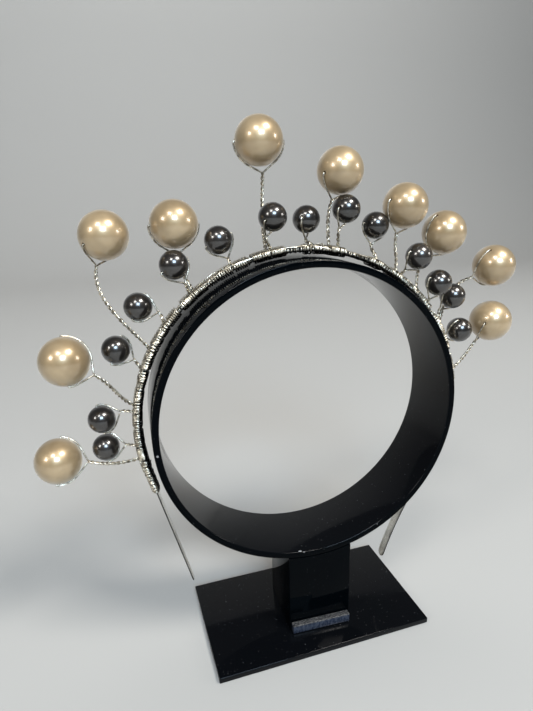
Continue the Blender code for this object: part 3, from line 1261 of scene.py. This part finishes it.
PEARL_HANGS = (
    Hang(190.1, -0.12, -4, 25, 0, 0.006),
    Hang(170.9, 0.00, 12, 30, 35, 0.010),
    Hang(151.2, 0.00, -35, 45, 30, 0.012),
    Hang(128.3, 0.18, -12, 10, 0, 0.024),
    Hang(102.2, 0.22, 4, 0, -5, 0.016),
    Hang(81.6, 0.10, -5, 30, 20, 0.008),
    Hang(56.1, 0.00, -7, 20, 0, 0.009),
    Hang(45.6, 0.20, -2, 15, -20, 0.010),
    Hang(29.8, 0.28, -13, 20, 8, 0.008),
    Hang(10.7, 0.00, 11, 45, 25, 0.010),
)
DARK_HANGS = (
    Hang(185.1, 0.0, -4, 20, 0),
    Hang(173.2, 0.0, 6, 15, 0),
    Hang(158.1, 0.0, 4, 20, 10, 0.008),
    Hang(141.6, 0.0, 14, 30, -10, 0.012),
    Hang(129.7, 0.0, 2, 20, 0),
    Hang(114.1, 0.0, 2, 10, 0, 0.026),
    Hang(100.8, 0.0, -19, 50, 25, 0.026),
    Hang(87.5, 0.0, -5, 55, -10, 0.022),
    Hang(78.4, 0.0, -11, 40, 10),
    Hang(64.3, 0.0, -9, 10, 0, 0.010),
    Hang(53.8, 0.0, -7, 20, 20),
    Hang(40.1, 0.0, -1, 15, 0, 0.006),
    Hang(31.4, 0.0, -3, 20, 0),
    Hang(22.6, 0.0, 3, 20, 0, 0.006),
)


@dataclass(frozen=True)
class LoopStyle:
    """How a wire goes through a bead and round it to the crotch below.

    drop is how far below the bead its two wires meet, and apart how far each is off the
    middle there, in diameters of the wire. hug is the gap between the bead and the wire.
    inside gives the wire's points in the hole, in shares of the bead's radius. Outside the
    hole the wire bends over bend of its diameters, pressed in by press of a diameter.
    """

    drop: float = 0.0022
    apart: float = 0.56
    hug: float = 0.00012
    inside: tuple[float, float] = (0.8, 0.97)
    bend: float = 1.1
    press: float = 0.1
    points: int = 9
    step: float = 0.0007


@dataclass(frozen=True)
class StemStyle:
    """How two wires are twisted into a stem.

    rise is the height of the stem's foot over the band, and pull and lean set how far and how
    upright it sets off. pitch is the length of one twist. width and wave are how wide the
    twist is and how much that varies, and rate how fast. rise, width and wave are in
    diameters of the wire.
    """

    rise: float = 0.9
    pull: float = 0.35
    lean: float = 0.5
    step: float = 0.00045
    fewest_points: int = 8
    pitch: float = 0.0045
    width: float = 1.16
    wave: float = 0.16
    rate: float = 900.0


@dataclass(frozen=True)
class TieStyle:
    """How a wire is wound round the band at the foot of its stem.

    Feet past long_from degrees have long_turns turns. advance is a turn's way along the band,
    in diameters of the wire, and start the share of it that comes before the first turn.
    slack and wander are how far the number of turns and their places vary, and rate how fast
    the places do. layer is the range of the turns' height over the winding. The end sinks in
    at the slope tuck, over the last tuck_turns.
    """

    turns: float = 3.2
    long_turns: float = 6.0
    long_from: float = 95.0
    points_a_turn: int = 16
    advance: float = 1.35
    start: float = 0.45
    slack: float = 0.7
    wander: float = 0.45
    rate: float = 5.0
    layer: tuple[float, float] = (-0.00005, 0.00018)
    tuck: float = 0.0012
    tuck_turns: float = 0.3


@dataclass(frozen=True)
class LeadStyle:
    """How a wire is laid along the band beside a stem.

    It rolls roll degrees to the front, turn_in times as fast as it runs along the band, and
    waves by wave degrees. It lies rise of its diameter over the winding, and sinks in at the
    slope tuck from tuck_from of its length on.
    """

    points: int = 40
    roll: float = 62.0
    turn_in: float = 3.0
    wave: float = 14.0
    rate: float = 5.0
    rise: float = 0.46
    tuck: float = 0.010
    tuck_from: float = 0.93


@dataclass
class HungBead:
    """One bead with the wire that carries it, laid out in the band's plane.

    spin turns each bead about its hole, in radians for each bead before it.
    """

    band: Band
    kind: BeadKind
    number: int
    hang: Hang
    diameter: float
    loop: LoopStyle = LoopStyle()
    twist: StemStyle = StemStyle()
    binding: TieStyle = TieStyle()
    laid: LeadStyle = LeadStyle()
    sides: int = 8
    spin: float = 1.1

    def __post_init__(self) -> None:
        """Find the bead's centre in the frame, and the lines that its wire follows."""
        band, hang = self.band, self.hang
        self.node = f"{self.kind.value}_{self.number:02d}"
        self.centre = band.seat().inverted() @ middle(self.node)
        self.radius = self.diameter / 2
        self.foot = band.beside(hang.root, band.winding_thickness / 2, 0.0)
        home = self.foot - self.centre
        line = math.degrees(math.atan2(home.z, home.x)) + hang.hang
        self.down = radial(line)
        self.crotch = self.centre + self.down * (self.radius + self.loop.drop)
        back = Vector((0.0, 1.0, 0.0))
        self.bow = back * hang.bow * self.diameter
        turn, dip = math.radians(hang.turn), math.radians(hang.dip)
        self.across = radial(line - 90) * math.cos(turn) - back * math.sin(turn)
        self.hole = self.across * math.cos(dip) + self.down * math.sin(dip)

    def side_loop(self, side: int) -> list[Vector]:
        """Lead the wire from inside the bead round one side to the crotch.

        Args:
            side: 1 or -1, the end of the hole that it comes out of.

        Returns:
            The wire's points.
        """
        wire, loop = self.band.wire, self.loop
        orbit = self.radius + loop.hug + wire / 2
        way_out = self.hole * side
        normal = way_out.cross(self.down).normalized().cross(way_out)
        total = math.degrees(way_out.angle(self.down))
        leave = math.degrees(math.acos(orbit / (self.radius + loop.drop)))
        first = math.degrees(wire * loop.bend / orbit)

        def around(angle: float, reach: float) -> Vector:
            """Return the point at an angle from the way out and a reach from the centre."""
            turn = math.radians(angle)
            return self.centre + (way_out * math.cos(turn) + normal * math.sin(turn)) * reach

        points = [self.centre + way_out * self.radius * share for share in loop.inside]
        points.append(around(first / 4, orbit - wire * loop.press))
        points += [around(angle, orbit) for angle in spread(first, total - leave, loop.points)]
        points.append(self.crotch + self.across * side * wire * loop.apart)
        return rounded(points, loop.step)

    def stem(self) -> list[Vector]:
        """Lead the stem's centre line from the crotch down to the foot.

        Returns:
            The line's points.
        """
        twist = self.twist
        rise = self.foot.normalized()
        start = self.foot + rise * self.band.wire * twist.rise
        chord = self.crotch - start
        pull = chord.length * twist.pull
        lift = (chord.normalized() + rise * twist.lean).normalized()
        a, b, c, d = start, start + lift * pull, self.crotch + self.down * pull, self.crotch
        points = []
        for t in spread(1.0, 0.0, max(twist.fewest_points, int(chord.length / twist.step))):
            s = 1.0 - t
            points.append(a * s ** 3 + b * 3 * s * s * t + c * 3 * s * t * t + d * t ** 3
                          + self.bow * 4 * s * t)
        return points

    def strand(self, line: list[Vector], side: int) -> list[Vector]:
        """Lead one of the two wires that are twisted round each other down the stem.

        Args:
            line: the stem's centre line.
            side: 1 or -1, the wire.

        Returns:
            The wire's points.
        """
        twist = self.twist
        normal = self.across.copy()
        run = 0.0
        points = []
        for here, ahead in zip(line, [*line[1:], line[-1] * 2 - line[-2]]):
            tangent = (ahead - here).normalized()
            normal = (normal - tangent * normal.dot(tangent)).normalized()
            turn = 2 * math.pi * run / twist.pitch
            width = twist.width + twist.wave * math.sin(run * twist.rate + self.number)
            arm = normal * math.cos(turn) + tangent.cross(normal) * math.sin(turn)
            points.append(here + arm * side * self.band.wire * 0.5 * width)
            run += (ahead - here).length
        return points

    def tie(self, side: int, chance: random.Random) -> list[Vector]:
        """Lead one of the two wires round the band at the foot, to bind it.

        Args:
            side: 1 or -1, the wire and the way that its turns advance.
            chance: the source of the turns' height, number and places.

        Returns:
            The wire's points.
        """
        band, hang, tie = self.band, self.hang, self.binding
        layer = chance.uniform(*tie.layer)
        half_thickness = band.winding_thickness / 2 + band.wire * 0.5 + layer
        half_width = band.winding_width / 2 + band.wire * 0.5 + layer
        advance = math.degrees(band.wire * tie.advance / band.radius)
        count = tie.long_turns if hang.root > tie.long_from else tie.turns
        count += chance.uniform(-tie.slack, tie.slack)
        wander = chance.uniform(-tie.wander, tie.wander)
        points = []
        for i in range(1, int(count * tie.points_a_turn) + 1):
            turns = i / tie.points_a_turn
            along = side * (tie.start + turns) + wander * math.sin(turns * tie.rate)
            sink = max(0.0, turns - count + tie.tuck_turns) * tie.tuck
            points.append(band.turn_point(hang.root + along * advance, side * 360.0 * turns,
                                          half_thickness - sink, half_width - sink))
        return points

    def lead(self) -> list[Vector]:
        """Lead a wire along the band's outer face, from the foot to the left.

        Returns:
            The wire's points.
        """
        band, hang, laid = self.band, self.hang, self.laid
        reach = math.degrees(hang.lead / band.radius)
        path = []
        for share in spread(0.0, 1.0, laid.points):
            sink = max(0.0, share - laid.tuck_from) * laid.tuck
            lie = band.wire * laid.rise - sink
            wave = laid.wave * math.sin(share * laid.rate + self.number)
            roll = -laid.roll * min(1.0, share * laid.turn_in) - wave
            path.append(band.turn_point(hang.root + reach * share, roll,
                                        band.winding_thickness / 2 + lie,
                                        band.winding_width / 2 + lie))
        return path

    def wire_runs(self, chance: random.Random) -> list[list[Vector]]:
        """Lead the whole wire: tied, up the stem, through the bead and down again.

        Args:
            chance: the source of the ties' unevenness.

        Returns:
            The points of the wire, and of the wire laid beside it if there is one.
        """
        line = self.stem()
        here = self.strand(line, 1) + self.tie(1, chance)
        there = self.strand(line, -1) + self.tie(-1, chance)
        upper = list(reversed(self.side_loop(1))) + self.side_loop(-1)
        runs = [list(reversed(here)) + upper + there]
        if self.hang.lead > 0.0:
            runs.append(self.lead())
        return runs

    def build_wire(self, finish: bpy.types.Material, chance: random.Random) -> bpy.types.Object:
        """Make the wire of this bead.

        Args:
            finish: its material.
            chance: the source of the ties' unevenness.

        Returns:
            The finished piece.
        """
        name = f"{self.kind.value}_wire_{self.number:02d}"
        piece = tube_through("twisted_" + name, self.wire_runs(chance), self.band.wire, self.sides)
        self.band.lay(piece)
        return hand_over(piece, finish, (name,))

    def build_bead(self, model: bpy.types.Object, finish: bpy.types.Material) -> bpy.types.Object:
        """Make this bead from a copy of the model bead, its hole turned to the wire.

        Args:
            model: the model bead.
            finish: the bead's material.

        Returns:
            The finished piece.
        """
        deselect()
        piece = model.copy()
        piece.data = model.data.copy()
        bpy.context.scene.collection.objects.link(piece)
        piece.name = "lustre_" + self.node
        piece.data.name = piece.name
        place = self.band.seat()
        way = (place.to_3x3() @ self.hole).to_track_quat("Z", "Y")
        spin = Quaternion((0.0, 0.0, 1.0), self.number * self.spin)
        piece.matrix_world = Matrix.LocRotScale(place @ self.centre, way @ spin, None)
        settle(piece)
        return hand_over(piece, finish, (self.node,))


@dataclass
class BeadSet:
    """All the beads of one kind with their wires.

    rim_reach is how far the faces cut away at a pole may reach, in widths of the first row,
    and rim_ease the rounding of the hole's edge, in shares of the drill.
    """

    band: Band
    kind: BeadKind
    hangs: tuple[Hang, ...]
    diameter: float
    slot: Slot
    drill: float = DRILL
    segments: int = 48
    rows: int = 28
    rim_reach: float = 1.05
    rim_ease: float = 0.16
    rim_crease: float = 50.0
    bead_crease: float = 60.0

    def model_bead(self) -> bpy.types.Object:
        """Make one bead at the origin: a sphere opened at its poles, bridged and eased.

        Returns:
            The bead, without a material.
        """
        deselect()
        bpy.ops.mesh.primitive_uv_sphere_add(segments=self.segments, ring_count=self.rows,
                                             radius=self.diameter / 2)
        piece = named("model_" + self.kind.value)
        rim = self.diameter / 2 * math.sin(math.radians(180 / self.rows)) * self.rim_reach
        pick(piece, faces=lambda face: face.calc_center_median().xy.length < rim)
        bpy.ops.mesh.delete(type="FACE")
        shape = bmesh.from_edit_mesh(piece.data)
        open_edges = [edge for edge in shape.edges if edge.is_boundary]
        for vert in {vert for edge in open_edges for vert in edge.verts}:
            flat = Vector((vert.co.x, vert.co.y, 0.0)).normalized() * self.drill / 2
            height = math.sqrt(self.diameter ** 2 / 4 - flat.length_squared)
            vert.co = flat + Vector((0.0, 0.0, math.copysign(height, vert.co.z)))
        bpy.ops.mesh.select_mode(type="EDGE")
        for edge in open_edges:
            edge.select_set(True)
        bmesh.update_edit_mesh(piece.data)
        bpy.ops.mesh.bridge_edge_loops()
        leave_edit()
        apply_modifier(piece, "BEVEL", width=self.drill * self.rim_ease, segments=2,
                       limit_method="ANGLE", angle_limit=math.radians(self.rim_crease))
        smooth(piece, self.bead_crease)
        return piece

    def build(self, finish: bpy.types.Material, metal: bpy.types.Material) -> None:
        """Make every bead and its wire.

        Args:
            finish: the beads' material.
            metal: the wires' material.
        """
        model = self.model_bead()
        chance = random.Random(SEED + len(self.hangs))
        for number, hang in enumerate(self.hangs, start=1):
            bead = HungBead(self.band, self.kind, number, hang, self.diameter)
            bead.build_bead(model, finish)
            bead.build_wire(metal, chance)
        bpy.data.objects.remove(model, do_unlink=True)


@dataclass
class Headband:
    """The whole headband: strip, winding, loose strands and both sets of beads.

    The wire carries painted shade: it is black up to painted_shade_depth inside the band's radius and
    bright from shade_end_depth on, measured from a point shade_rise above the centre of the arc.
    """

    band: Band = field(default_factory=Band)
    shade_rise: float = 0.0006
    painted_shade_depth: float = 0.0010
    shade_end_depth: float = 0.0001

    def finishes(self) -> tuple[WoundWireFinish, WoundWireFinish]:
        """Set the finishes whose painted shade darkens them towards the ring.

        Returns:
            The finish of the winding and that of the ties and stems.
        """
        axis = self.band.seat().translation + Vector((0.0, 0.0, self.shade_rise))
        shade_zone = {"axis": tuple(axis), "painted_shade_radius": self.band.radius - self.painted_shade_depth,
                "shade_end_radius": self.band.radius - self.shade_end_depth}
        wound = WoundWireFinish(
            name="wound_wire_metal", bright=(0.95, 0.89, 0.77), tarnish=(0.27, 0.24, 0.18),
            roughness=0.38, stain_scale=880.0, **shade_zone)
        # The ties, stems and strands take a darker copy of the winding's silver, as painted shade.
        tied = WoundWireFinish(
            name="tied_wire_metal", bright=(0.76, 0.71, 0.60), tarnish=(0.25, 0.22, 0.17),
            roughness=0.28, stain_scale=420.0, **shade_zone)
        return wound, tied

    def build(self) -> None:
        """Make every piece of the headband."""
        band = self.band
        SpringStrip(band).build(STEEL.build())
        wound, tied = self.finishes()
        Winding(band).build(wound.build(), SHADED_INNER_SILVER.build())
        silver = tied.build()
        for strand in STRANDS:
            strand.build(band, silver)
        BeadSet(band, BeadKind.PEARL, PEARL_HANGS, PEARL_DIAMETER, Slot.CHAMPAGNE).build(
            CHAMPAGNE.build(), silver)
        BeadSet(band, BeadKind.DARK, DARK_HANGS, DARK_DIAMETER, Slot.GUNMETAL).build(
            GUNMETAL.build(), silver)


@dataclass(frozen=True)
class Lamp:
    """A soft rectangular lamp, given by the side that it shines from.

    azimuth and elevation are in degrees and power is in watts. A lamp that isn't mirrored
    lights the pieces and shows in none of them.
    """

    azimuth: float
    elevation: float
    distance: float
    width: float
    height: float
    power: float
    colour: Colour
    mirrored: bool = True


LAMPS = (
    Lamp(-60.0, 27.0, 2.20, 0.46, 0.46, 10.5, (1.0, 0.97, 0.92)),
    Lamp(-30.0, 52.0, 2.20, 0.50, 0.46, 14.5, (1.0, 0.98, 0.94)),
    Lamp(43.0, 56.0, 2.20, 0.74, 0.56, 39.0, (1.0, 0.97, 0.92)),
    Lamp(70.0, 17.0, 2.20, 0.36, 0.36, 7.0, (1.0, 0.97, 0.92)),
    Lamp(0.0, 34.0, 2.40, 0.90, 0.76, 44.0, (0.61, 0.80, 1.0)),
    Lamp(170.0, 62.0, 1.20, 1.20, 0.70, 4.0, (1.0, 0.99, 0.98), False),
)


def hang_lamp(name: str, place: Vector, turn: tuple[float, float, float], width: float,
              height: float, power: float) -> bpy.types.Object:
    """Add a rectangular lamp.

    Args:
        name: its name.
        place: its middle.
        turn: its turn about each axis, in radians.
        width: its width.
        height: its height.
        power: its power in watts.

    Returns:
        The lamp.
    """
    deselect()
    bpy.ops.object.light_add(type="AREA", location=place)
    light = bpy.context.object
    light.name = name
    light.rotation_euler = turn
    light.data.shape = "RECTANGLE"
    light.data.size = width
    light.data.size_y = height
    light.data.energy = power
    return light


@dataclass
class Studio:
    """Pale floor, soft lamps and the camera at the photo's angle.

    sweep_bend is how many times the sweep's bend goes into its size. The wall lamp's place and
    width are shares of that size. The air's level is how bright the even light all round is.
    """

    camera_place: Vector = field(default_factory=lambda: Vector((-0.0749, -0.2102, 0.2082)))
    azimuth: float = -14.86
    elevation: float = 17.07
    roll: float = -1.13
    lens: float = 26.0
    sensor: float = 36.0
    nearest: float = 0.01
    sweep: float = 4.0
    sweep_bend: float = 5.0
    sweep_segments: int = 12
    sweep_crease: float = 80.0
    edge_margin: float = 0.01
    wall_back: float = 0.22
    wall_up: float = 0.42
    wall_width: float = 0.6
    wall_height: float = 0.3
    wall_tilt: float = 70.0
    wall_power: float = 13.0
    air: Colour = (0.80, 0.81, 0.83)
    air_level: float = 0.12
    aim: Vector = field(default_factory=lambda: Vector((0.0, 0.0, 0.12)))

    @staticmethod
    def towards(azimuth: float, elevation: float) -> Vector:
        """Return the unit vector from the object to a viewer or a lamp."""
        a, e = math.radians(azimuth), math.radians(elevation)
        return Vector((math.sin(a) * math.cos(e), -math.cos(a) * math.cos(e), math.sin(e)))

    def floor(self) -> None:
        """Lay a wide floor that turns up into a wall far behind."""
        deselect()
        bpy.ops.mesh.primitive_plane_add(size=self.sweep, location=(0.0, 0.0, 0.0))
        piece = named("pale_floor")
        back = self.sweep / 2 - self.edge_margin
        pick(piece, edges=lambda a, b: a.y > back and b.y > back)
        bpy.ops.mesh.extrude_region_move(
            TRANSFORM_OT_translate={"value": (0.0, 0.0, self.sweep / 2)})
        leave_edit()
        apply_modifier(piece, "BEVEL", width=self.sweep / self.sweep_bend,
                       segments=self.sweep_segments, limit_method="ANGLE")
        smooth(piece, self.sweep_crease)
        piece.data.materials.append(PALE.build())

    def lamps(self) -> None:
        """Hang the soft lamps round the object."""
        for number, lamp in enumerate(LAMPS, start=1):
            way = self.towards(lamp.azimuth, lamp.elevation)
            light = hang_lamp(f"soft_lamp_{number}", self.aim + way * lamp.distance,
                              way.to_track_quat("Z", "Y").to_euler(), lamp.width, lamp.height,
                              lamp.power)
            light.data.color = lamp.colour
            light.visible_glossy = lamp.mirrored

    def wall_lamp(self) -> None:
        """Light the sweep's wall from above, out of the camera's sight."""
        place = Vector((0.0, self.sweep * self.wall_back, self.sweep * self.wall_up))
        light = hang_lamp("wall_lamp", place, (math.radians(self.wall_tilt), 0.0, 0.0),
                          self.sweep * self.wall_width, self.wall_height, self.wall_power)
        light.visible_glossy = False

    def sky(self) -> None:
        """Give even pale light from all round."""
        world = bpy.data.worlds.new("studio_air")
        bpy.context.scene.world = world
        world.use_nodes = True
        background = world.node_tree.nodes["Background"]
        background.inputs["Color"].default_value = (*self.air, 1.0)
        background.inputs["Strength"].default_value = self.air_level

    def camera(self) -> None:
        """Set the camera where the photo was taken from."""
        back = self.towards(self.azimuth, self.elevation)
        roll = Quaternion((0.0, 0.0, 1.0), math.radians(self.roll))
        deselect()
        bpy.ops.object.camera_add(location=self.camera_place)
        eye = bpy.context.object
        eye.name = "photo_camera"
        eye.rotation_mode = "QUATERNION"
        eye.rotation_quaternion = back.to_track_quat("Z", "Y") @ roll
        eye.data.lens = self.lens
        eye.data.sensor_width = self.sensor
        eye.data.clip_start = self.nearest
        bpy.context.scene.camera = eye
        bpy.context.scene.view_settings.view_transform = "Standard"

    def build(self) -> None:
        """Set up the whole studio."""
        self.floor()
        self.lamps()
        self.wall_lamp()
        self.sky()
        self.camera()


def main() -> None:
    """Build the looks of the stand and the headband, then the studio."""
    logging.basicConfig(level=logging.INFO, format="%(name)s %(message)s")
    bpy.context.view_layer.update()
    Stand().build()
    Headband().build()
    Studio().build()


if __name__ == "__main__":
    main()
